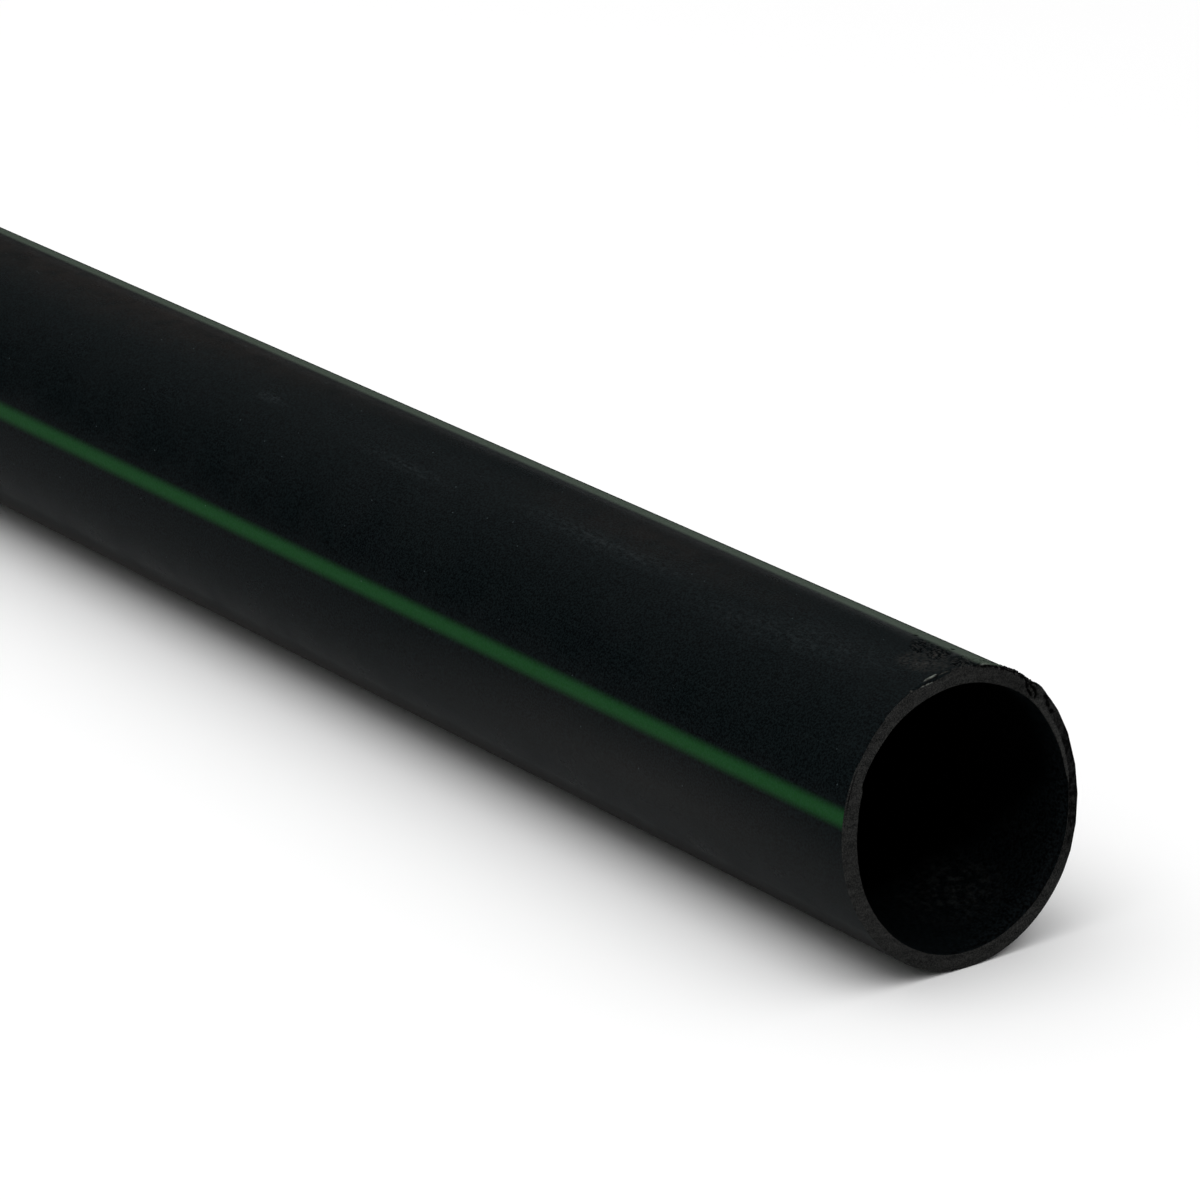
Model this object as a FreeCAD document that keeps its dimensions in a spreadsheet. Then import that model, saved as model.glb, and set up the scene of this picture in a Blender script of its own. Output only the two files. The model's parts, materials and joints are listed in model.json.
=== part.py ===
# Polyethylene water pipe, one length of stock: 63 mm outside, 3.6 mm thick in the wall (SDR 17.6).
# The pipe lies along X. The origin is on its axis, at the centre of the square end, and the end
# that was sawn off by hand faces +X. Millimetres and degrees.
import FreeCAD, Part
import Sketcher
import math
import os

VECTOR = FreeCAD.Vector

SIZES = [
    ("outer_diameter", 63, "outside of the pipe, the size it is sold by"),
    ("wall", 3.6, "thickness of the wall"),
    ("pipe_length", 1000, "on the axis, from the square end to the middle of the sawn end"),
    ("saw_slope", 6, "how far the hand-sawn cut is out of square"),
    ("saw_lean", 12, "the way it is out of square, from straight up towards +Y"),
    ("edge_break", 0.4, "flat scraped on both edges of the square end"),
    ("knife_flats", 3, "strokes of a knife that trimmed the burr off the sawn edge"),
    ("knife_place", 87, "middle stroke, round from straight up towards +Y"),
    ("knife_step", 20, "from one stroke to the next, round the pipe"),
    ("knife_depth", 0.7, "what a stroke takes off the edge, measured towards the axis"),
    ("knife_slope", 30, "a stroke's angle to the axis"),
]


def make_sheet(doc):
    """The driving sizes, one row each: name, value and what it is."""
    sheet = doc.addObject("Spreadsheet::Sheet", "sizes")
    for row, (alias, value, note) in enumerate(SIZES, start=1):
        sheet.set(f"A{row}", alias)
        sheet.set(f"B{row}", str(value))
        sheet.set(f"C{row}", note)
        sheet.setAlias(f"B{row}", alias)
    doc.recompute()
    return sheet


def add_sketch(body, name, role):
    """An empty sketch that lies flat on one of the body's own origin planes."""
    sketch = body.newObject("Sketcher::SketchObject", name)
    plane = next(feature for feature in body.Origin.OriginFeatures if feature.Role == role)
    sketch.AttachmentSupport = [(plane, "")]
    sketch.MapMode = "FlatFace"
    return sketch


def bind(sketch, constraint, expression):
    """Adds a dimension to a sketch and lets the sheet drive it."""
    index = sketch.addConstraint(constraint)
    sketch.setExpression(f"Constraints[{index}]", expression)


def extrude_wall(doc, body):
    """The wall as it leaves the die: two circles on one centre, drawn out along the axis."""
    section = add_sketch(body, "wall_section", "YZ_Plane")
    outside = section.addGeometry(Part.Circle(VECTOR(0, 0, 0), VECTOR(0, 0, 1), 30), False)
    bore = section.addGeometry(Part.Circle(VECTOR(0, 0, 0), VECTOR(0, 0, 1), 25), False)
    for circle in (outside, bore):
        section.addConstraint(Sketcher.Constraint("Coincident", circle, 3, -1, 1))
    bind(section, Sketcher.Constraint("Diameter", outside, 60), "sizes.outer_diameter")
    bind(section, Sketcher.Constraint("Diameter", bore, 50), "sizes.outer_diameter - 2 * sizes.wall")

    wall = body.newObject("PartDesign::Pad", "extruded_wall")
    wall.Profile = section
    wall.Type = "Length"
    # one diameter too long, which leaves room for the slanting cut
    wall.setExpression("Length", "sizes.pipe_length + sizes.outer_diameter")
    doc.recompute()


def slice_off(doc, body, name, turned, along, out, heading, reach):
    """Takes off all that lies to the right of a line.

    The line is drawn in a plane through the axis, turned by an angle from straight up towards
    +Y. It passes through the point along, out (along the axis, and out from it) and runs the
    way that heading gives. All are formulas on the sheet, and so is reach, the half length.
    """
    before = body.Shape.Volume
    sketch = add_sketch(body, f"{name}_line", "XZ_Plane")
    about_axis = FreeCAD.Rotation(VECTOR(1, 0, 0), 1)
    sketch.AttachmentOffset = FreeCAD.Placement(VECTOR(0, 0, 0), about_axis)
    sketch.setExpression("AttachmentOffset.Rotation.Angle", f"-({turned}) * 1 deg")

    corners = [VECTOR(1000, -50), VECTOR(990, 50), VECTOR(1040, 55), VECTOR(1050, -45)]
    sides = []
    for start, stop in zip(corners, corners[1:] + corners[:1]):
        sides.append(sketch.addGeometry(Part.LineSegment(start, stop), False))
    blade, shoulder = sides[:2]
    point = sketch.addGeometry(Part.Point(VECTOR(995, 1, 0)), True)

    for first, second in zip(sides, sides[1:] + sides[:1]):
        sketch.addConstraint(Sketcher.Constraint("Coincident", first, 2, second, 1))
    for first, second in zip(sides, sides[1:]):
        sketch.addConstraint(Sketcher.Constraint("Perpendicular", first, second))
    sketch.addConstraint(Sketcher.Constraint("Symmetric", blade, 1, blade, 2, point, 1))
    bind(sketch, Sketcher.Constraint("DistanceX", -1, 1, point, 1, 995), along)
    bind(sketch, Sketcher.Constraint("DistanceY", -1, 1, point, 1, 1), out)
    bind(sketch, Sketcher.Constraint("Distance", point, 1, blade, 2, 50), reach)
    bind(sketch, Sketcher.Constraint("Distance", shoulder, 50), f"2 * ({reach})")
    bind(sketch, Sketcher.Constraint("Angle", blade, math.radians(95)), f"({heading}) * 1 deg")

    cut = body.newObject("PartDesign::Pocket", name)
    cut.Profile = sketch
    cut.Type = "ThroughAll"
    cut.SideType = "Symmetric"
    doc.recompute()
    if not body.Shape.Volume < before:
        raise RuntimeError(f"{name} takes nothing off")


def scrape_square_end(doc, body):
    """The factory's end: a small flat takes the sharpness off its two round edges."""
    shape = body.Shape
    edges = []
    for number, edge in enumerate(shape.Edges, start=1):
        if edge.BoundBox.XMax < 1e-6:
            edges.append(f"Edge{number}")
    flat = body.newObject("PartDesign::Chamfer", "scraped_edges")
    flat.Base = (body.getObject("extruded_wall"), edges)
    flat.setExpression("Size", "sizes.edge_break")
    doc.recompute()


def check_document(doc, body):
    for item in doc.Objects:
        if "Invalid" in item.State or "Error" in item.State:
            raise RuntimeError(f"{item.Label} failed: {item.State}")
    if body.Shape.isNull() or not body.Shape.isValid() or len(body.Shape.Solids) != 1:
        raise RuntimeError(f"{body.Label} is not one sound solid")


def build():
    doc = FreeCAD.newDocument("polyethylene_pipe")
    sheet = make_sheet(doc)
    body = doc.addObject("PartDesign::Body", "pipe")
    body.Label = "pipe"

    extrude_wall(doc, body)
    scrape_square_end(doc, body)
    slice_off(
        doc, body, "saw_cut",
        turned="sizes.saw_lean",
        along="sizes.pipe_length",
        out="0",
        heading="90 + sizes.saw_slope",
        reach="sizes.outer_diameter",
    )

    # the trimmed burr: each stroke starts where the slanting face stands at its own place
    flats = int(sheet.knife_flats)
    for number in range(flats):
        turned = f"sizes.knife_place + ({number} - {(flats - 1) / 2}) * sizes.knife_step"
        edge = "(sizes.outer_diameter / 2 - sizes.knife_depth)"
        fall = f"tan(sizes.saw_slope * 1 deg) * cos(({turned} - sizes.saw_lean) * 1 deg)"
        slice_off(
            doc, body, f"knife_flat_{number + 1}",
            turned=turned,
            along=f"sizes.pipe_length - {edge} * {fall}",
            out=edge,
            heading="180 - sizes.knife_slope",
            reach="sizes.outer_diameter / 4",
        )

    check_document(doc, body)
    print(f"{body.Label}: {body.Shape.Volume / 1000:.2f} cm3 in {len(body.Shape.Faces)} faces")
    os.makedirs("parts", exist_ok=True)
    body.Shape.exportStep(f"parts/{body.Label}.step")


build()
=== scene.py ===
import json
import math
import bmesh
import bpy
from mathutils import Matrix, Vector, noise


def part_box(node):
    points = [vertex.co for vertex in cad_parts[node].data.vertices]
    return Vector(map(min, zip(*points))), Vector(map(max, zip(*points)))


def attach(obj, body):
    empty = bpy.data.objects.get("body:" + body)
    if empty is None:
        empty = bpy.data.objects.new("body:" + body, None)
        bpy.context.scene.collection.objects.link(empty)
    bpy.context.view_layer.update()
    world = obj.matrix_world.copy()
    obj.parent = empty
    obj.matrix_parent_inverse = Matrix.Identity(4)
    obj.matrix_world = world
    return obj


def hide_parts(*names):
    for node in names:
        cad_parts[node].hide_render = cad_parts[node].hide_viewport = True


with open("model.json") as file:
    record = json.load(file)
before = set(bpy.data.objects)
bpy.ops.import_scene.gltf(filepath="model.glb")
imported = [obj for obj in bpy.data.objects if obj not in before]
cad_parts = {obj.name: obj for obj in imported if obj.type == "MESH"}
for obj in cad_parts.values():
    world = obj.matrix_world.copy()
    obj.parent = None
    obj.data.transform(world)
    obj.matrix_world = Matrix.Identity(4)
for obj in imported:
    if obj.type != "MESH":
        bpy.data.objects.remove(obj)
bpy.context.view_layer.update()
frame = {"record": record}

mm = 0.001


def mountRadius(name):
    mount = next(m for m in frame["record"]["mounts"] if m["name"] == name)
    return mount["dims"]["r_mm"] * mm


# One length of pipe, extruded and sawn off by hand. It lies along X from its square end, and a
# place round it is an angle in degrees from straight up towards +Y.
pipe = {
    "outer": mountRadius("spigot_square_end"),
    "bore": mountRadius("bore_square_end"),
    "sawSlope": 6.0,         # the cut is this much out of square
    "sawLean": 12.0,         # and stands furthest back on this side
    "edgeBreak": 0.4 * mm,   # scraped edges of the square end
    "sawnEdge": 0.22 * mm,   # worn edge of the sawn end
    "endZone": 27 * mm,      # finely divided stretch at the sawn end
    "slantZone": 60 * mm,    # stretch that is sheared to make the slant
    "sectors": [(-26, 58, 280), (58, 126, 112), (126, 334, 208)],  # from, to, steps
    "sharpEdge": 35.0,       # faces that meet at more than this are shaded apart
}
slope = math.tan(math.radians(pipe["sawSlope"]))
pipe["length"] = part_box("pipe")[1][0] - pipe["outer"] * slope


def linear(hexColour):
    # sRGB hex to the linear numbers that sockets take
    parts = [int(hexColour[i:i + 2], 16) / 255 for i in (1, 3, 5)]
    return tuple(c / 12.92 if c <= 0.04045 else ((c + 0.055) / 1.055) ** 2.4 for c in parts) + (1.0,)


def addNode(tree, kind, settings=None, inputs=None):
    node = tree.nodes.new("ShaderNode" + kind)
    for name, value in (settings or {}).items():
        setattr(node, name, value)
    for socket, value in (inputs or {}).items():
        if isinstance(value, bpy.types.NodeSocket):
            tree.links.new(value, node.inputs[socket])
        else:
            node.inputs[socket].default_value = value
    return node


def newMaterial(name, shader):
    # a Principled surface with its fixed sockets set; gives the material, its tree and the shader
    material = bpy.data.materials.new(name)
    material.use_nodes = True
    tree = material.node_tree
    tree.nodes.clear()
    surface = addNode(tree, "BsdfPrincipled", inputs=shader)
    addNode(tree, "OutputMaterial", inputs={"Surface": surface.outputs[0]})
    return material, tree, surface


def noiseMask(tree, place, size, low, high, stretch=(1, 1, 1), detail=3.0):
    # a soft-edged mask of noise whose spots are about size across
    placed = addNode(tree, "Mapping", inputs={"Vector": place, "Scale": stretch})
    spots = addNode(tree, "TexNoise", inputs={
        "Vector": placed.outputs[0], "Scale": 1 / size, "Detail": detail, "Roughness": 0.55})
    mask = addNode(tree, "MapRange", {"interpolation_type": "SMOOTHSTEP"}, {
        "Value": spots.outputs["Fac"], "From Min": low, "From Max": high})
    return mask.outputs[0]


def laidOver(tree, colour, hexColour, *masks):
    # a paler colour added to a colour, as far as all of its masks let it
    added = linear(hexColour)[:3]
    for mask in masks:
        added = addNode(tree, "VectorMath", {"operation": "SCALE"}, {0: added, "Scale": mask}).outputs[0]
    return addNode(tree, "VectorMath", {"operation": "ADD"}, {0: colour, 1: added}).outputs[0]


# The mesh holds a shade for every point: tool marks, with painted shade in folds, creases and on
# the sawn face; dark from 0 down to -1, pale from 0 up to 1, past that a painted glint on a burr.
burrGlint = {
    "colour": "#6a706a",
    "shade": (1.0, 2.6),
}


# lays the mesh's shade over a colour: the marks, their painted shade and the painted glints
def shaded(tree, colour, dark, pale):
    shade = addNode(tree, "Attribute", {"attribute_name": "shade"}).outputs["Fac"]
    below, above, glint = [
        addNode(tree, "MapRange", inputs={"Value": shade, "From Min": start, "From Max": full}).outputs[0]
        for start, full in ((0.0, -1.0), (0.0, 1.0), burrGlint["shade"])]
    colour = addNode(tree, "Mix", {"data_type": "RGBA"}, {0: below, 6: colour, 7: linear(dark)}).outputs[2]
    return laidOver(tree, laidOver(tree, colour, pale, above), burrGlint["colour"], glint)


# the stripes: angle, width in mm and colour, and the same straight across. The upper one is green
# made pale by a painted highlight of the glancing sheen along the top outline.
stripes = {
    "places": [(-77.4, 3.2, "#163f1d"), (18.3, 6.0, "#394239")],
    "softEdge": 1.2 * mm,
}

# Black HDPE, extruded: the die leaves a satin skin with fine lines along it. The stripes are the
# same plastic coloured green, run in flush, with an edge that bleeds a little.
skin = {
    "black": "#040607",
    "mottle": "#030303",
    "speckle": "#0b1112",
    "rub": "#1d2122",        # scuffs
    "stain": "#150f0c",      # brown film
    "bloomAndFloorReflection": "#22201f",      # dust that lies evenly, and a painted reflection of the floor
    "dust": "#30383a",       # single specks of it
    "fineLine": "#070a0a",
    "torn": "#030404",
    "scraped": "#262320",
    "roughness": 0.3,
    "glancing": 0.95,        # roughness along the outline, where the die lines scatter the light
    "turnedFrom": 0.76,      # how far the surface has turned away where that starts
    "turnedTo": 0.96,        # and where it is full
    "specular": 0.011,
    # sizes of the patterns; speckle, grain and die lines are finer on the real one
    "mottleSize": 14 * mm,
    "speckleSize": 0.45 * mm,
    "streakSize": 0.8 * mm,
    "cloudSize": 6 * mm,
    "dustStep": 5 * mm,      # from one speck of dust to the next
    "dustSize": 0.035,       # as a share of that step
    "grainSize": 0.7 * mm,
    "dieLineSize": 1.3 * mm,
    "reliefDepth": 0.02 * mm,
    # one line that shows: its angle, half its width and the length of its pieces
    "dieLine": (-54.9, 0.07 * mm, 11 * mm),
    # Rubbed places, places with a brown film, and places under an even bloom of dust, which along the
    # underside is a painted reflection of the floor. Each has its angle, its distance along the pipe,
    # half its width and length in mm, and its strength.
    "rubbed": [(-17.5, 890, 3.5, 42, 0.9), (-20, 760, 2.0, 9, 1.0), (-23.5, 818, 2.6, 24, 0.7),
               (-17.5, 968, 6, 26, 0.6), (-24, 945, 5, 30, 0.5)],
    "stained": [(4, 690, 8, 150, 1.2), (-9, 660, 8, 130, 0.6), (0, 540, 10, 120, 1.0),
                (-2, 900, 10, 60, 0.8), (-128, 520, 10, 120, 0.8)],
    "dustAndFloorReflection": [(-101, 935, 14, 110, 0.65), (-141, 700, 10, 600, 2.2)],
}


def striped(tree, place):
    # black with the stripes in it, from the angle round the axis
    parts = addNode(tree, "SeparateXYZ", inputs={0: place})
    around = addNode(tree, "Math", {"operation": "ARCTAN2"}, {0: parts.outputs["Y"], 1: parts.outputs["Z"]})
    soft = stripes["softEdge"] / pipe["outer"]
    colour = linear(skin["black"])
    for angle, width, stripeColour in stripes["places"]:
        half = width / 2 * mm / pipe["outer"]
        turned = addNode(tree, "Math", {"operation": "SUBTRACT"}, {
            0: around.outputs[0], 1: math.radians(angle)})
        # a quarter turn on it comes back, so that the same lies straight across
        away = addNode(tree, "Math", {"operation": "PINGPONG"}, {0: turned.outputs[0], 1: math.pi / 2})
        share = addNode(tree, "MapRange", {"interpolation_type": "SMOOTHSTEP"}, {
            "Value": away.outputs[0], "From Min": half - soft, "From Max": half + soft,
            "To Min": 1.0, "To Max": 0.0})
        colour = addNode(tree, "Mix", {"data_type": "RGBA"}, {
            0: share.outputs[0], 6: colour, 7: linear(stripeColour)}).outputs[2]
    return colour


def patches(tree, onSkin, places):
    # soft ellipses on the skin, where one of its lists of places has them
    total = 0.0
    for angle, x, wide, long, amount in places:
        centred = addNode(tree, "Mapping", {"vector_type": "TEXTURE"}, {
            "Vector": onSkin, "Location": (math.radians(angle) * pipe["outer"], x * mm, 0),
            "Scale": (wide * mm, long * mm, 1)})
        spot = addNode(tree, "TexGradient", {"gradient_type": "SPHERICAL"}, {"Vector": centred.outputs[0]})
        total = addNode(tree, "Math", {"operation": "MULTIPLY_ADD"}, {
            0: spot.outputs["Fac"], 1: amount, 2: total}).outputs[0]
    return total


def skinColour(tree, place, mottle):
    onSkin = addNode(tree, "UVMap", {"uv_map": "skinPlace"}).outputs[0]
    colour = laidOver(tree, striped(tree, place), skin["mottle"], mottle)
    speckle = noiseMask(tree, place, skin["speckleSize"], 0.38, 0.62)
    colour = laidOver(tree, colour, skin["speckle"], speckle)
    # rubbed in streaks, mostly along the top, where the pipe slid on other pipes
    streaks = noiseMask(tree, place, skin["streakSize"], 0.38, 0.75, stretch=(0.5, 1, 1), detail=5.0)
    colour = laidOver(tree, colour, skin["rub"], patches(tree, onSkin, skin["rubbed"]), streaks)
    # a cloudy brown film
    clouds = noiseMask(tree, place, skin["cloudSize"], 0.1, 0.7, detail=6.0)
    colour = laidOver(tree, colour, skin["stain"], patches(tree, onSkin, skin["stained"]), clouds)
    # dust, as a bloom and as single specks; the strong bloom along the underside is a painted reflection of
    # the floor
    colour = laidOver(tree, colour, skin["bloomAndFloorReflection"], patches(tree, onSkin, skin["dustAndFloorReflection"]))
    cells = addNode(tree, "TexVoronoi", inputs={"Vector": place, "Scale": 1 / skin["dustStep"]})
    specks = addNode(tree, "Math", {"operation": "LESS_THAN"}, {
        0: cells.outputs["Distance"], 1: skin["dustSize"]})
    colour = laidOver(tree, colour, skin["dust"], specks.outputs[0])
    # one long line that the die drew, broken here and there
    angle, half, long = skin["dieLine"]
    parts = addNode(tree, "SeparateXYZ", inputs={0: onSkin})
    onLine = addNode(tree, "Math", {"operation": "COMPARE"}, {
        0: parts.outputs["X"], 1: math.radians(angle) * pipe["outer"], 2: half})
    breaks = noiseMask(tree, place, long, 0.42, 0.55)
    colour = laidOver(tree, colour, skin["fineLine"], onLine.outputs[0], breaks)
    return shaded(tree, colour, skin["torn"], skin["scraped"])


def skinRelief(tree, place):
    # die lines along the pipe and a fine grain
    drawn = addNode(tree, "Mapping", inputs={"Vector": place, "Scale": (0.01, 1, 1)})
    dieLines = addNode(tree, "TexNoise", inputs={
        "Vector": drawn.outputs[0], "Scale": 1 / skin["dieLineSize"], "Detail": 2.0})
    grain = addNode(tree, "TexNoise", inputs={
        "Vector": place, "Scale": 1 / skin["grainSize"], "Detail": 4.0})
    height = addNode(tree, "Math", {"operation": "MULTIPLY_ADD"}, {
        0: dieLines.outputs["Fac"], 1: 0.25, 2: grain.outputs["Fac"]})
    relief = addNode(tree, "Bump", inputs={
        "Height": height.outputs[0], "Distance": skin["reliefDepth"], "Strength": 1.0})
    return relief.outputs[0]


def skinRoughness(tree, mottle):
    # satin, duller along the outline and dull where it is torn
    satin = addNode(tree, "MapRange", inputs={
        "Value": mottle, "To Min": skin["roughness"] * 0.9, "To Max": skin["roughness"] * 1.2})
    facing = addNode(tree, "LayerWeight", inputs={"Blend": 0.5})
    outlined = addNode(tree, "MapRange", inputs={
        "Value": facing.outputs["Facing"], "From Min": skin["turnedFrom"], "From Max": skin["turnedTo"],
        "To Min": satin.outputs[0], "To Max": skin["glancing"]})
    shade = addNode(tree, "Attribute", {"attribute_name": "shade"}).outputs["Fac"]
    torn = addNode(tree, "MapRange", inputs={
        "Value": shade, "From Min": -0.1, "From Max": -0.7, "To Min": outlined.outputs[0], "To Max": 1.0})
    return torn.outputs[0]


def extrudedSkin():
    material, tree, surface = newMaterial("extruded_black_polyethylene", {
        "IOR": 1.5, "Specular IOR Level": skin["specular"]})
    place = addNode(tree, "TexCoord").outputs["Object"]
    mottle = noiseMask(tree, place, skin["mottleSize"], 0.35, 0.75)
    tree.links.new(skinColour(tree, place, mottle), surface.inputs["Base Color"])
    tree.links.new(skinRelief(tree, place), surface.inputs["Normal"])
    tree.links.new(skinRoughness(tree, mottle), surface.inputs["Roughness"])
    return material


# where the saw went through: matte and fuzzy, greyer than the skin
sawn = {
    "grey": "#111212",
    "pale": "#353534",
    "torn": "#040404",
    "scraped": "#272726",
    "roughness": 0.8,
    "specular": 0.02,
    "toothStep": 0.9 * mm,    # scratches of the blade; finer on the real one
    "fuzzSize": 0.32 * mm,
    "scratchShare": 0.35,     # what the scratches give to the colour and the relief, beside the fuzz
    "reliefDepth": 0.12 * mm,
}


def sawnFace():
    material, tree, surface = newMaterial("sawn_polyethylene", {
        "IOR": 1.5, "Specular IOR Level": sawn["specular"], "Roughness": sawn["roughness"]})
    place = addNode(tree, "TexCoord").outputs["Object"]
    scratches = noiseMask(tree, place, sawn["toothStep"], 0.3, 0.75, stretch=(1, 0.25, 1))
    fuzz = noiseMask(tree, place, sawn["fuzzSize"], 0.35, 0.65)
    both = addNode(tree, "Mix", {"data_type": "FLOAT"}, {0: sawn["scratchShare"], 2: fuzz, 3: scratches})
    colour = addNode(tree, "Mix", {"data_type": "RGBA"}, {
        0: both.outputs[0], 6: linear(sawn["grey"]), 7: linear(sawn["pale"])}).outputs[2]
    tree.links.new(shaded(tree, colour, sawn["torn"], sawn["scraped"]), surface.inputs["Base Color"])
    relief = addNode(tree, "Bump", inputs={
        "Height": both.outputs[0], "Distance": sawn["reliefDepth"], "Strength": 1.0})
    tree.links.new(relief.outputs[0], surface.inputs["Normal"])
    return material


# the inside, cooled in air: the same black, with dust and a painted pool of light where the mouth lets
# light in
inside = {
    "black": "#020202",
    # dust, and the painted light from the mouth in the same colour
    "dust": "#0e1315",
    "rub": "#2b2d2c",
    "torn": "#010101",
    "scraped": "#2b2a28",
    "roughness": 0.4,
    "specular": 0.02,
    # where the dust and the painted light from the mouth end: x in mm, x per z below the axis, and how soft
    # in mm
    "dustAndLightLine": (989, 0.92, 8),
    "patch": ((981, 13, -25), (16, 15, 9)),  # rubbed paler: middle and half sizes in mm
    "dustSize": 0.6 * mm,
    "strokeSize": 1.2 * mm,
    "grainSize": 1.2 * mm,
    "reliefDepth": 0.05 * mm,
}


def boreSkin():
    material, tree, surface = newMaterial("bore_black_polyethylene", {
        "IOR": 1.5, "Specular IOR Level": inside["specular"], "Roughness": inside["roughness"]})
    place = addNode(tree, "TexCoord").outputs["Object"]
    # the dust and the painted light from the mouth, further in the lower it lies
    end, rise, soft = inside["dustAndLightLine"]
    parts = addNode(tree, "SeparateXYZ", inputs={0: place})
    below = addNode(tree, "Math", {"operation": "MINIMUM"}, {0: parts.outputs["Z"], 1: 0.0})
    along = addNode(tree, "Math", {"operation": "MULTIPLY_ADD"}, {
        0: below.outputs[0], 1: -rise, 2: parts.outputs["X"]})
    dustAndLight = addNode(tree, "MapRange", {"interpolation_type": "SMOOTHSTEP"}, {
        "Value": along.outputs[0], "From Min": end * mm, "From Max": (end + soft) * mm})
    grains = noiseMask(tree, place, inside["dustSize"], 0.35, 0.68, detail=4.0)
    colour = laidOver(tree, linear(inside["black"])[:3], inside["dust"], dustAndLight.outputs[0], grains)
    # the place that is rubbed paler
    middle, sizes = inside["patch"]
    centred = addNode(tree, "Mapping", {"vector_type": "TEXTURE"}, {
        "Vector": place, "Location": [c * mm for c in middle], "Scale": [s * mm for s in sizes]})
    spot = addNode(tree, "TexGradient", {"gradient_type": "SPHERICAL"}, {"Vector": centred.outputs[0]})
    strokes = noiseMask(tree, place, inside["strokeSize"], 0.42, 0.75, stretch=(0.6, 1, 1), detail=5.0)
    colour = laidOver(tree, colour, inside["rub"], spot.outputs["Fac"], strokes)
    tree.links.new(shaded(tree, colour, inside["torn"], inside["scraped"]), surface.inputs["Base Color"])
    grain = addNode(tree, "TexNoise", inputs={
        "Vector": place, "Scale": 1 / inside["grainSize"], "Detail": 3.0})
    relief = addNode(tree, "Bump", inputs={
        "Height": grain.outputs["Fac"], "Distance": inside["reliefDepth"], "Strength": 1.0})
    tree.links.new(relief.outputs[0], surface.inputs["Normal"])
    return material
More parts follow.
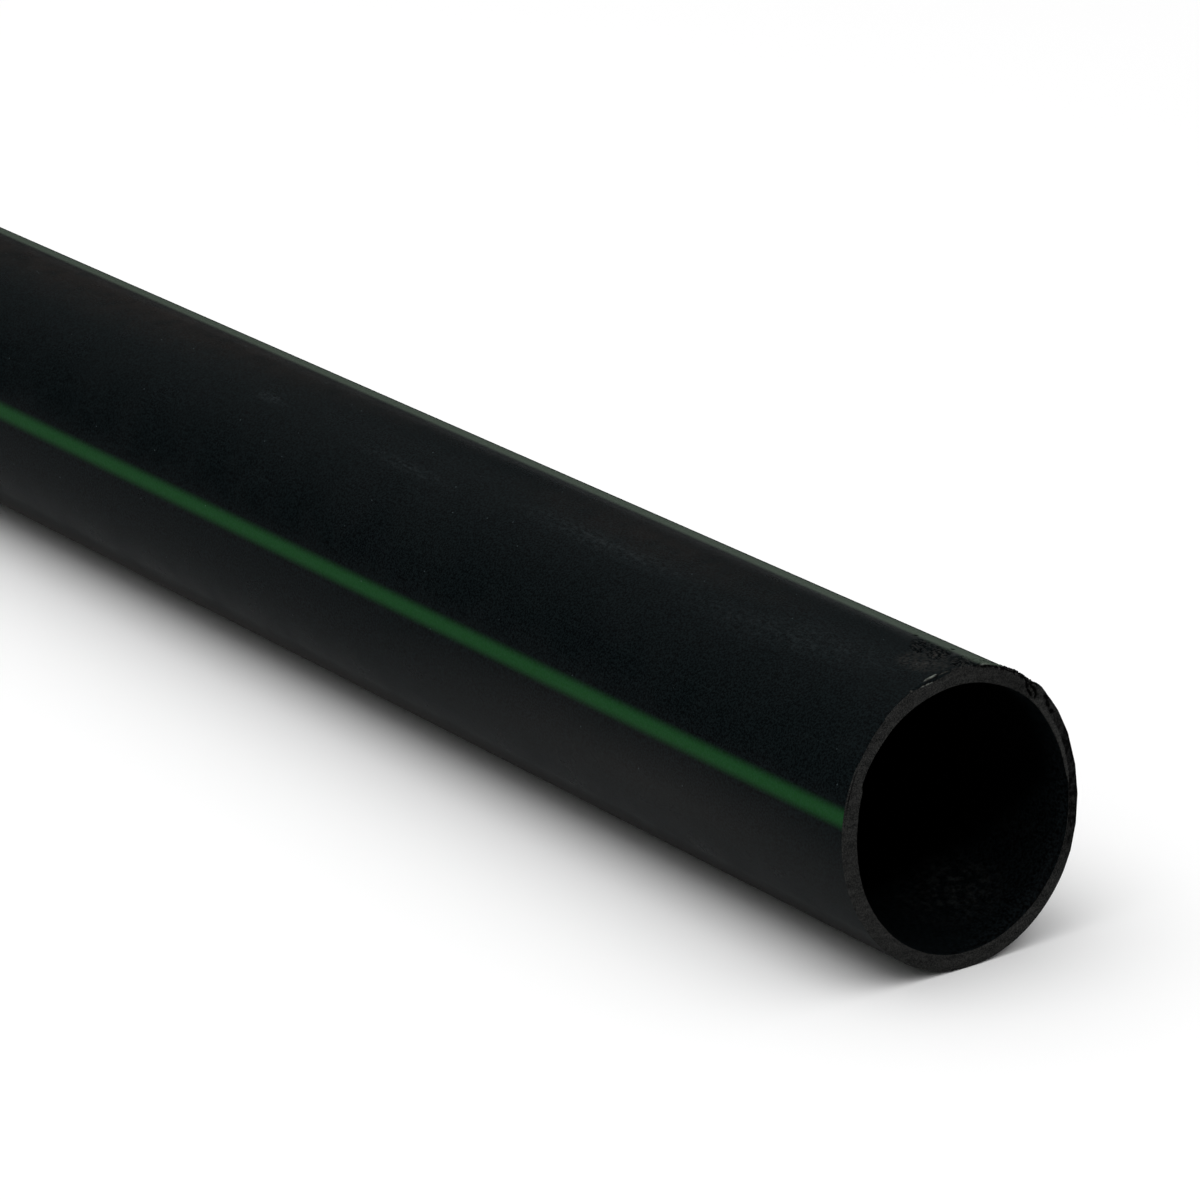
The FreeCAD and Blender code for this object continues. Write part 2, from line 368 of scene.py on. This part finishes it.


# What the saw, the knife and the vice left on the sawn end, with painted shade and glints laid in.
# A list of pairs is an angle and what there is at it, eased from one to the next.
sawnEnd = {
    # strokes of the knife and their depth in mm; then their angle to the axis, how far a stroke
    # reaches round to each side, and the middle and swing of the painted shade on their flats
    "knifeStrokes": [(63, 0.38), (74, 0.7), (84, 0.76), (94, 0.66), (104, 0.44), (115, 0.2)],
    "knifeSlope": 30.0,
    "strokeReach": 25.0,
    "strokeShade": (-0.7, 1.8),
    # the edge bent outward, in mm, and how far that reaches back
    "lip": [(8, 0), (24, 0.5), (31, 0.44), (39, 0.22), (44, 0.46), (51, 0.08), (56, 0)],
    "lipReach": 2.2 * mm,
    # how far in mm the bore's edge stands off its circle, scraped out or left hanging in
    "boreEdge": [(-180, 0.3), (-150, 0.2), (-115, 0), (-92, -0.35), (-80, -0.4), (-67, -0.15),
                 (-63, 0.55), (-40, 0.2), (-10, -0.2), (20, -0.1), (45, 0.3), (62, 0.1),
                 (80, 0.2), (90, 0.7), (118, 1.05), (135, 0.8), (155, 0.45), (180, 0.3)],
    "boreReach": 3.5 * mm,
    # the torn stretch of the outer edge: its middle and half width in degrees, reach back and depth
    "chatter": (38, 24, 1.5 * mm, 0.1 * mm),
    # the saw's unevenness, in mm
    "sawTrace": 0.04,
    # Marks in the skin. Each has its angle and distance back, its length and width in mm, the turn
    # of its long side, its depth in mm, its shade (dark below 0, pale above, a painted glint past 1)
    # and how torn it is.
    "skinMarks": [
        (5.4, 15.6, 10.6, 5.4, 45, 0.22, -0.6, 1.0),     # bites of the vice, a tooth apart
        (6.0, 9.9, 10.6, 5.4, 45, 0.22, -0.6, 1.0),
        (8.0, 3.1, 10.6, 5.6, 35, 0.22, -0.6, 1.0),
        (18.5, 2.6, 10.0, 3.0, 25, 0.2, -0.6, 1.0),
        (12.8, 22.7, 1.7, 1.0, 20, 0.1, -1.0, 0.0),      # nicks past the teeth
        (15.6, 12.0, 1.9, 1.0, 20, 0.1, -1.0, 0.0),
        (-3.0, 8.6, 13.5, 9.5, -50, 0.03, 0.3, 0.8),     # skin dragged and torn below the bites
        (-6.5, 4.5, 10.5, 5.5, -50, 0.03, 0.25, 0.8),
        (12.5, 0.6, 6.0, 0.8, 13, 0.35, -1.2, 0.2),      # folds behind the bent lip, painted dark as the shade in them
        (20.0, 2.1, 5.6, 0.8, 30, 0.3, -1.2, 0.2),
        (20.0, 4.1, 5.0, 0.7, -23, 0.2, -1.0, 0.2),
        (31.0, 0.8, 14.0, 3.2, 0, 0.25, -1.0, 0.9),      # torn skin along the lip
        (13.8, 0.1, 2.8, 0.4, 0, -0.1, 1.5, 0.1),        # the lip's crease, with a painted glint
        (-12.2, 0.2, 4.2, 0.26, 0, -0.25, 2.6, 0.15),    # burr, with a painted glint where it catches the light
        (-5.8, 0.0, 3.2, 0.25, 0, -0.12, 1.25, 0.2),
        (-22.0, 0.1, 0.7, 0.4, 0, -0.1, 1.2, 0.0),
        (-73.3, 34.0, 1.6, 0.5, 60, 0.1, -1.0, 0.0)],    # a nick in the stripe
    # marks in the sawn face, with their radius in mm instead of the distance back
    "faceMarks": [
        (37.5, 30.1, 2.4, 0.8, -45, 0.5, -1.2, 0.2),     # gouge that forks right across the wall
        (40.7, 29.05, 2.8, 0.75, -20, 0.5, -1.2, 0.2),
        (41.0, 30.35, 2.0, 0.7, -11, 0.4, -1.1, 0.2),
        (43.2, 29.9, 1.8, 0.75, -28, 0.5, -1.2, 0.2),
        (44.4, 29.2, 1.6, 0.8, -75, 0.6, -1.2, 0.1),
        (40.3, 29.9, 3.4, 2.0, -40, 0.2, -0.6, 0.7),
        (47.5, 29.9, 2.6, 2.2, 0, -0.05, 0.3, 0.3),      # flat left standing beside it
        (49.1, 30.7, 1.8, 1.2, 20, 0.3, -0.9, 0.3),      # chips past that
        (51.8, 30.2, 2.0, 1.0, -20, 0.3, -0.9, 0.3),
        (55.5, 29.95, 1.4, 1.0, 30, 0.4, -1.0, 0.1),
        (26.5, 31.1, 10.5, 1.5, 0, 0.15, -1.0, 0.9),     # dark, ragged rim behind the lip
        (37.0, 31.1, 8.0, 1.5, 0, 0.15, -0.9, 0.9),
        (14.5, 31.0, 5.2, 0.6, 0, 0.25, -0.6, 0.6),
        (-14.6, 30.75, 4.4, 0.3, -7, -0.1, 2.0, 0.1),    # thin second burr, with a painted glint
        (-66.5, 31.05, 11.0, 0.34, 0, 0.2, -0.75, 0.1)],  # fold inside the edge, painted dark as its shadow line
    # waves per mm along and across a torn mark, of its creases and of its frayed grain
    "creaseWaves": (0.9, 1.5),
    "frayWaves": (2.3, 3.1),
    # painted shade where the trimmed outer part of the sawn face turns from the light: how much, and
    # from what share of the wall outwards
    "paintedShading": [(5, 0), (15, 0.25), (44, 0.3), (52, 0.5), (60, 0.6), (72, 0.95), (84, 0.9),
                (100, 1.0), (110, 0.6), (118, 0.4), (128, 0)],
    "paintedShadingFrom": [(40, 0), (48, 0.5), (60, 0.42), (70, 0.36), (80, 0.28), (92, 0), (130, 0)],
    "paintedShadingSoft": 0.12,
    # how wide in mm the outer edge of the sawn face takes the skin's black, as a painted shadow line
    "paintedShadowEdge": [(-60, 0), (-52, 0.25), (-26, 0.1), (-22, 0.15), (-17.5, 0.6), (-11.2, 1.0),
                 (-3.6, 0.75), (-1.5, 0)],
    "skinShare": 0.93,       # from this share of the wall outwards, a point belongs to the skin
}


def between(points, at):
    # the value at a place, eased from point to point of a list of (place, value)
    for (start, first), (stop, last) in zip(points, points[1:]):
        if start <= at <= stop:
            share = (at - start) / (stop - start)
            return first + (last - first) * share * share * (3 - 2 * share)
    return 0.0


def fade(away, reach):
    # 1 at a place, easing to 0 where its reach ends
    share = min(1.0, max(0.0, 1 - away / reach))
    return share * share * (3 - 2 * share)


def uneven(angle, distance, perDegree, perMm, layer):
    return noise.noise(Vector((angle * perDegree, distance / mm * perMm, layer)))


def marksAt(marks, angle, height):
    # depth in mm and shade that a list of marks gives one place
    depth, shade = 0.0, 0.0
    arc = math.radians(1) * pipe["outer"] / mm
    for markAngle, markHeight, long, wide, turn, deep, tone, torn in marks:
        across, up = (angle - markAngle) * arc, height - markHeight
        if abs(across) + abs(up) > long:
            continue
        cosTurn, sinTurn = math.cos(math.radians(turn)), math.sin(math.radians(turn))
        u, v = across * cosTurn + up * sinTurn, up * cosTurn - across * sinTurn
        share = 1 - (2 * u / long) ** 2 - (2 * v / wide) ** 2
        if share > 0:
            share = min(1.0, 2 * share)
            # thin creases where one noise passes through 0, cut deeper and painted darker as the shade in
            # them, and a second one for the frayed grain
            uWaves, vWaves = sawnEnd["creaseWaves"]
            crease = noise.noise(Vector((u * uWaves, v * vWaves, markHeight * 3)))
            crease = max(0.0, 1 - 4 * abs(crease))
            uWaves, vWaves = sawnEnd["frayWaves"]
            fray = noise.noise(Vector((u * uWaves, v * vWaves, markHeight * 5)))
            lines = crease if tone < 0 else 0.75 - crease
            depth += deep * share * (1 + torn * (1.4 * crease - 0.5 + fray))
            shade += tone * share * (1 + torn * (3.2 * lines - 1.7 + fray))
    return depth, shade


def faceShade(angle, radius):
    # how one place of the sawn face lies: depth in mm, and shade from the saw's marks with painted shade
    # and highlight
    dent, tone = marksAt(sawnEnd["faceMarks"], angle, radius / mm)
    blotch = uneven(angle, radius, 0.5, 0.7, 1) + 0.6 * uneven(angle, radius, 1.4, 2.1, 4)
    share = (radius - pipe["bore"]) / (pipe["outer"] - pipe["bore"])
    outward = fade(between(sawnEnd["paintedShadingFrom"], angle) - share, sawnEnd["paintedShadingSoft"])
    shadeAndHighlight = outward * (0.9 + 0.9 * blotch) - 0.5 * (1 - outward)  # painted shade outward, and slightly paler inside it as a painted highlight of the inner chamfer
    return dent + sawnEnd["sawTrace"] * blotch, tone - between(sawnEnd["paintedShading"], angle) * shadeAndHighlight


def knifeLimit(angle, x):
    # how far out the skin may stand after the strokes of the knife
    limit = pipe["outer"] * 2
    for place, depth in sawnEnd["knifeStrokes"]:
        turn = math.radians(angle - place)
        if abs(turn) < math.radians(sawnEnd["strokeReach"]):
            edge = pipe["outer"] - depth * mm
            endX = pipe["length"] - edge * slope * math.cos(math.radians(place - pipe["sawLean"]))
            flat = edge - (x - endX) * math.tan(math.radians(sawnEnd["knifeSlope"]))
            limit = min(limit, flat / math.cos(turn))
    return limit


def shapeSawnEnd(mesh):
    # moves the fine mesh at the sawn end: slant, bent lip, scraped bore, marks and knife strokes
    outer, bore, length = pipe["outer"], pipe["bore"], pipe["length"]
    tornMiddle, tornHalf, tornReach, tornDepth = sawnEnd["chatter"]
    strokeShade, strokeSwing = sawnEnd["strokeShade"]
    shade = mesh.verts.layers.float.new("shade")
    for vertex in mesh.verts:
        x, y, z = vertex.co
        back = length - x
        if back > pipe["slantZone"]:
            continue
        radius = math.hypot(y, z)
        angle = math.degrees(math.atan2(y, z))
        share = max(0.0, min(1.0, (radius - bore) / (outer - bore)))
        lift = between(sawnEnd["lip"], angle) * mm * fade(back, sawnEnd["lipReach"])
        if share > sawnEnd["skinShare"]:
            dent, vertex[shade] = marksAt(sawnEnd["skinMarks"], angle, back / mm)
            ragged = fade(abs(angle - tornMiddle), tornHalf) * fade(back, tornReach)
            lift += tornDepth * ragged * uneven(angle, back, 0.9, 0.9, 3) - dent * mm
        elif back < pipe["sawnEdge"]:
            dent, vertex[shade] = faceShade(angle, radius)
            x -= dent * mm
        scrape = between(sawnEnd["boreEdge"], angle) * mm * fade(back, sawnEnd["boreReach"])
        radius += lift * share + scrape * (1 - share)
        into = 1 - back / pipe["slantZone"]
        x -= radius * slope * math.cos(math.radians(angle - pipe["sawLean"])) * into
        limit = knifeLimit(angle, x)
        if radius > limit:
            radius = limit
            # painted shade on the knife's flats, dark with pale streaks
            vertex[shade] = strokeShade + strokeSwing * uneven(angle, x, 0.6, 0.9, 7)
        vertex.co = (x, radius * math.sin(math.radians(angle)), radius * math.cos(math.radians(angle)))


def unrollSkin(mesh):
    # a map of the skin in metres: round the pipe from straight up, and along it
    unrolled = mesh.loops.layers.uv.new("skinPlace")
    for face in mesh.faces:
        angles = [math.atan2(corner.vert.co.y, corner.vert.co.z) for corner in face.loops]
        crossing = max(angles) - min(angles) > math.pi
        for corner, angle in zip(face.loops, angles):
            if crossing and angle < 0:
                angle += 2 * math.pi
            corner[unrolled].uv = (angle * pipe["outer"], corner.vert.co.x)


def drawSection(mesh):
    # the wall cut through, as a closed outline: x and radius of each corner, and into how many parts
    # the side after it is divided
    length, outer, bore = pipe["length"], pipe["outer"], pipe["bore"]
    scraped, worn = pipe["edgeBreak"], pipe["sawnEdge"]
    near, nearer = length - pipe["endZone"], length - pipe["endZone"] / 2
    outline = [
        (scraped, outer, 10), (near, outer, 40), (nearer, outer, 60),
        (length - worn, outer, 2), (length, outer - worn, 20), (length, bore + worn, 2),
        (length - worn, bore, 16), (nearer, bore, 3), (near, bore, 6),
        (scraped, bore, 1), (0, bore + scraped, 2), (0, outer - scraped, 1)]
    for (x, radius, parts), (nextX, nextRadius, _) in zip(outline, outline[1:] + outline[:1]):
        ends = mesh.verts.new((x, 0, radius)), mesh.verts.new((nextX, 0, nextRadius))
        side = mesh.edges.new(ends)
        if parts > 1:
            bmesh.ops.subdivide_edges(mesh, edges=[side], cuts=parts - 1)
    bmesh.ops.remove_doubles(mesh, verts=mesh.verts, dist=0.001 * mm)


def turnSection(mesh):
    # the section goes all the way round, in finer steps where the sawn end has its marks
    start = Matrix.Rotation(math.radians(-pipe["sectors"][0][0]), 3, "X")
    bmesh.ops.rotate(mesh, cent=(0, 0, 0), matrix=start, verts=mesh.verts)
    section = mesh.verts[:] + mesh.edges[:]
    for first, last, steps in pipe["sectors"]:
        turned = bmesh.ops.spin(
            mesh, geom=section, axis=(-1, 0, 0), cent=(0, 0, 0),
            angle=math.radians(last - first), steps=steps, use_merge=False)
        section = turned["geom_last"]
    bmesh.ops.remove_doubles(mesh, verts=mesh.verts, dist=0.001 * mm)
    bmesh.ops.recalc_face_normals(mesh, faces=mesh.faces)


# the pipe's materials, in the order in which its faces count them
finishes = (extrudedSkin, sawnFace, boreSkin)


def giveFinishes(mesh):
    for face in mesh.faces:
        face.smooth = True
        middle = face.calc_center_median()
        finish = sawnFace
        if abs(face.normal.x) < 0.5:
            halfway = (pipe["outer"] + pipe["bore"]) / 2
            finish = extrudedSkin if math.hypot(middle.y, middle.z) > halfway else boreSkin
        face.material_index = finishes.index(finish)


def paintShadowEdge(mesh):
    # the outer edge of the sawn face takes the skin's finish as a painted shadow line, once the face has
    # its shape
    for face in mesh.faces:
        middle = face.calc_center_median()
        if middle.x < pipe["length"] - pipe["endZone"] or face.material_index != finishes.index(sawnFace):
            continue
        width = between(sawnEnd["paintedShadowEdge"], math.degrees(math.atan2(middle.y, middle.z))) * mm
        if math.hypot(middle.y, middle.z) > pipe["outer"] - width:
            face.material_index = finishes.index(extrudedSkin)


def makePipe():
    mesh = bmesh.new()
    drawSection(mesh)
    turnSection(mesh)
    giveFinishes(mesh)
    shapeSawnEnd(mesh)
    unrollSkin(mesh)
    paintShadowEdge(mesh)
    for edge in mesh.edges:
        edge.smooth = edge.calc_face_angle() <= math.radians(pipe["sharpEdge"])
    data = bpy.data.meshes.new("pipe_wall")
    mesh.to_mesh(data)
    mesh.free()
    piece = bpy.data.objects.new("pipe_wall", data)
    bpy.context.collection.objects.link(piece)
    for finish in finishes:
        data.materials.append(finish())
    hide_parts("pipe")
    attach(piece, "root")
    print("pipe:", len(data.polygons), "faces")


# the camera stands in front of the sawn end, at the photograph's angle
cameraPlace = {
    "at": (1.84435, -0.70213, 0.43640),
    "aim": (0.87495, -0.00007, 0.01092),
    "lens": 174.82,
    "sensor": 36.0,
}


def makeCamera():
    data = bpy.data.cameras.new("camera")
    data.lens = cameraPlace["lens"]
    data.sensor_width = cameraPlace["sensor"]
    camera = bpy.data.objects.new("camera", data)
    bpy.context.collection.objects.link(camera)
    at, aim = Vector(cameraPlace["at"]), Vector(cameraPlace["aim"])
    camera.matrix_world = Matrix.Translation(at) @ (aim - at).to_track_quat("-Z", "Y").to_matrix().to_4x4()
    bpy.context.scene.camera = camera
    print("camera placed")


# a white paper floor under a pale ceiling, with a pale band at the horizon and one soft lamp
studio = {
    "floorColour": "#f9f9f9",
    "floorSize": 14.0,
    "floorMiddle": 0.5,      # under the middle of the pipe
    "room": 0.03,
    # what the world adds to the room's light: brightness, and the sines of the heights between
    # which it comes or goes
    "horizon": (0.52, 0.10, 0.03),
    "ceiling": (1.30, 0.20, 0.90),
    # place, aim, size and brightness of the lamp
    "lamp": ((0.7, -0.6, 1.8), (0.8, 0, 0), 1.6, 1.15),
}


def makeFloor():
    mesh = bmesh.new()
    bmesh.ops.create_grid(mesh, x_segments=1, y_segments=1, size=studio["floorSize"] / 2)
    bmesh.ops.translate(mesh, verts=mesh.verts, vec=(studio["floorMiddle"], 0, -pipe["outer"]))
    data = bpy.data.meshes.new("floor")
    mesh.to_mesh(data)
    mesh.free()
    floor = bpy.data.objects.new("floor", data)
    bpy.context.collection.objects.link(floor)
    material, tree, surface = newMaterial("floor_paper", {
        "Base Color": linear(studio["floorColour"]), "Roughness": 0.9, "Specular IOR Level": 0.0})
    data.materials.append(material)


def makeLamp():
    at, aim, size, brightness = studio["lamp"]
    data = bpy.data.lights.new("front_soft_lamp", "AREA")
    data.size = size
    data.energy = brightness * math.pi * size * size
    lamp = bpy.data.objects.new("front_soft_lamp", data)
    lamp.location = at
    lamp.rotation_euler = (Vector(aim) - Vector(at)).to_track_quat("-Z", "Y").to_euler()
    lamp.visible_camera = False
    bpy.context.collection.objects.link(lamp)


def makeWorld():
    world = bpy.data.worlds.new("studio")
    bpy.context.scene.world = world
    world.use_nodes = True
    tree = world.node_tree
    tree.nodes.clear()
    upward = addNode(tree, "TexCoord").outputs["Generated"]
    height = addNode(tree, "SeparateXYZ", inputs={0: upward}).outputs["Z"]
    level = studio["room"]
    for brightness, start, full in (studio["horizon"], studio["ceiling"]):
        share = addNode(tree, "MapRange", {"interpolation_type": "SMOOTHSTEP"}, {
            "Value": height, "From Min": start, "From Max": full})
        level = addNode(tree, "Math", {"operation": "MULTIPLY_ADD"}, {
            0: share.outputs[0], 1: brightness, 2: level}).outputs[0]
    background = addNode(tree, "Background", inputs={"Color": (1, 1, 1, 1), "Strength": level})
    addNode(tree, "OutputWorld", inputs={"Surface": background.outputs[0]})
    print("floor, lamp and world made")


makeCamera()
makePipe()
makeFloor()
makeLamp()
makeWorld()
bpy.context.scene.view_settings.view_transform = "Standard"
